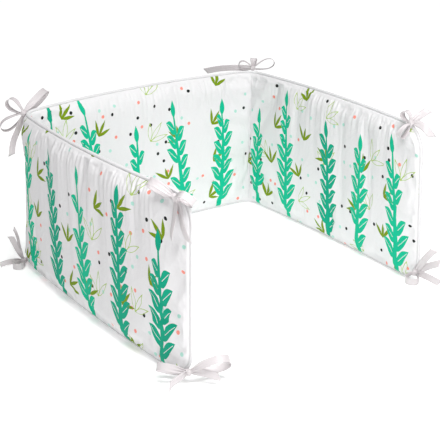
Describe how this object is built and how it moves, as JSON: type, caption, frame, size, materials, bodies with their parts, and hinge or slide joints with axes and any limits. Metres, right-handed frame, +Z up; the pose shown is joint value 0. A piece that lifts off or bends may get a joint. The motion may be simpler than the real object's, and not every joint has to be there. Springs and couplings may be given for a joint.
{
  "type": "crib bumper",
  "caption": "Padded cot bumper that stands as an open-fronted wall, with piped edges, a gathered top and ribbon ties at its folds and its open ends.",
  "frame": {"origin": "centre of the whole bumper in plan, at the level that its piping stands on", "axes": "+X along the back side, from the left side to the right side; +Y from the open front to the back side; +Z up"},
  "size_m": [0.7243, 0.7099, 0.3604],
  "materials": {
    "printed_cotton": "plain-woven white cotton with a leafy print",
    "piping_cotton": "white cotton piping",
    "tie_ribbon": "pale satin ribbon"
  },
  "bodies": {
    "root": {"bumper_pad": "printed_cotton", "piping": "piping_cotton", "tie_near_top": "tie_ribbon", "tie_near_foot": "tie_ribbon", "tie_left_top": "tie_ribbon", "tie_left_foot": "tie_ribbon", "tie_right_top": "tie_ribbon", "tie_right_foot": "tie_ribbon", "tie_far_top": "tie_ribbon", "tie_far_foot": "tie_ribbon"}
  },
  "joints": []
}
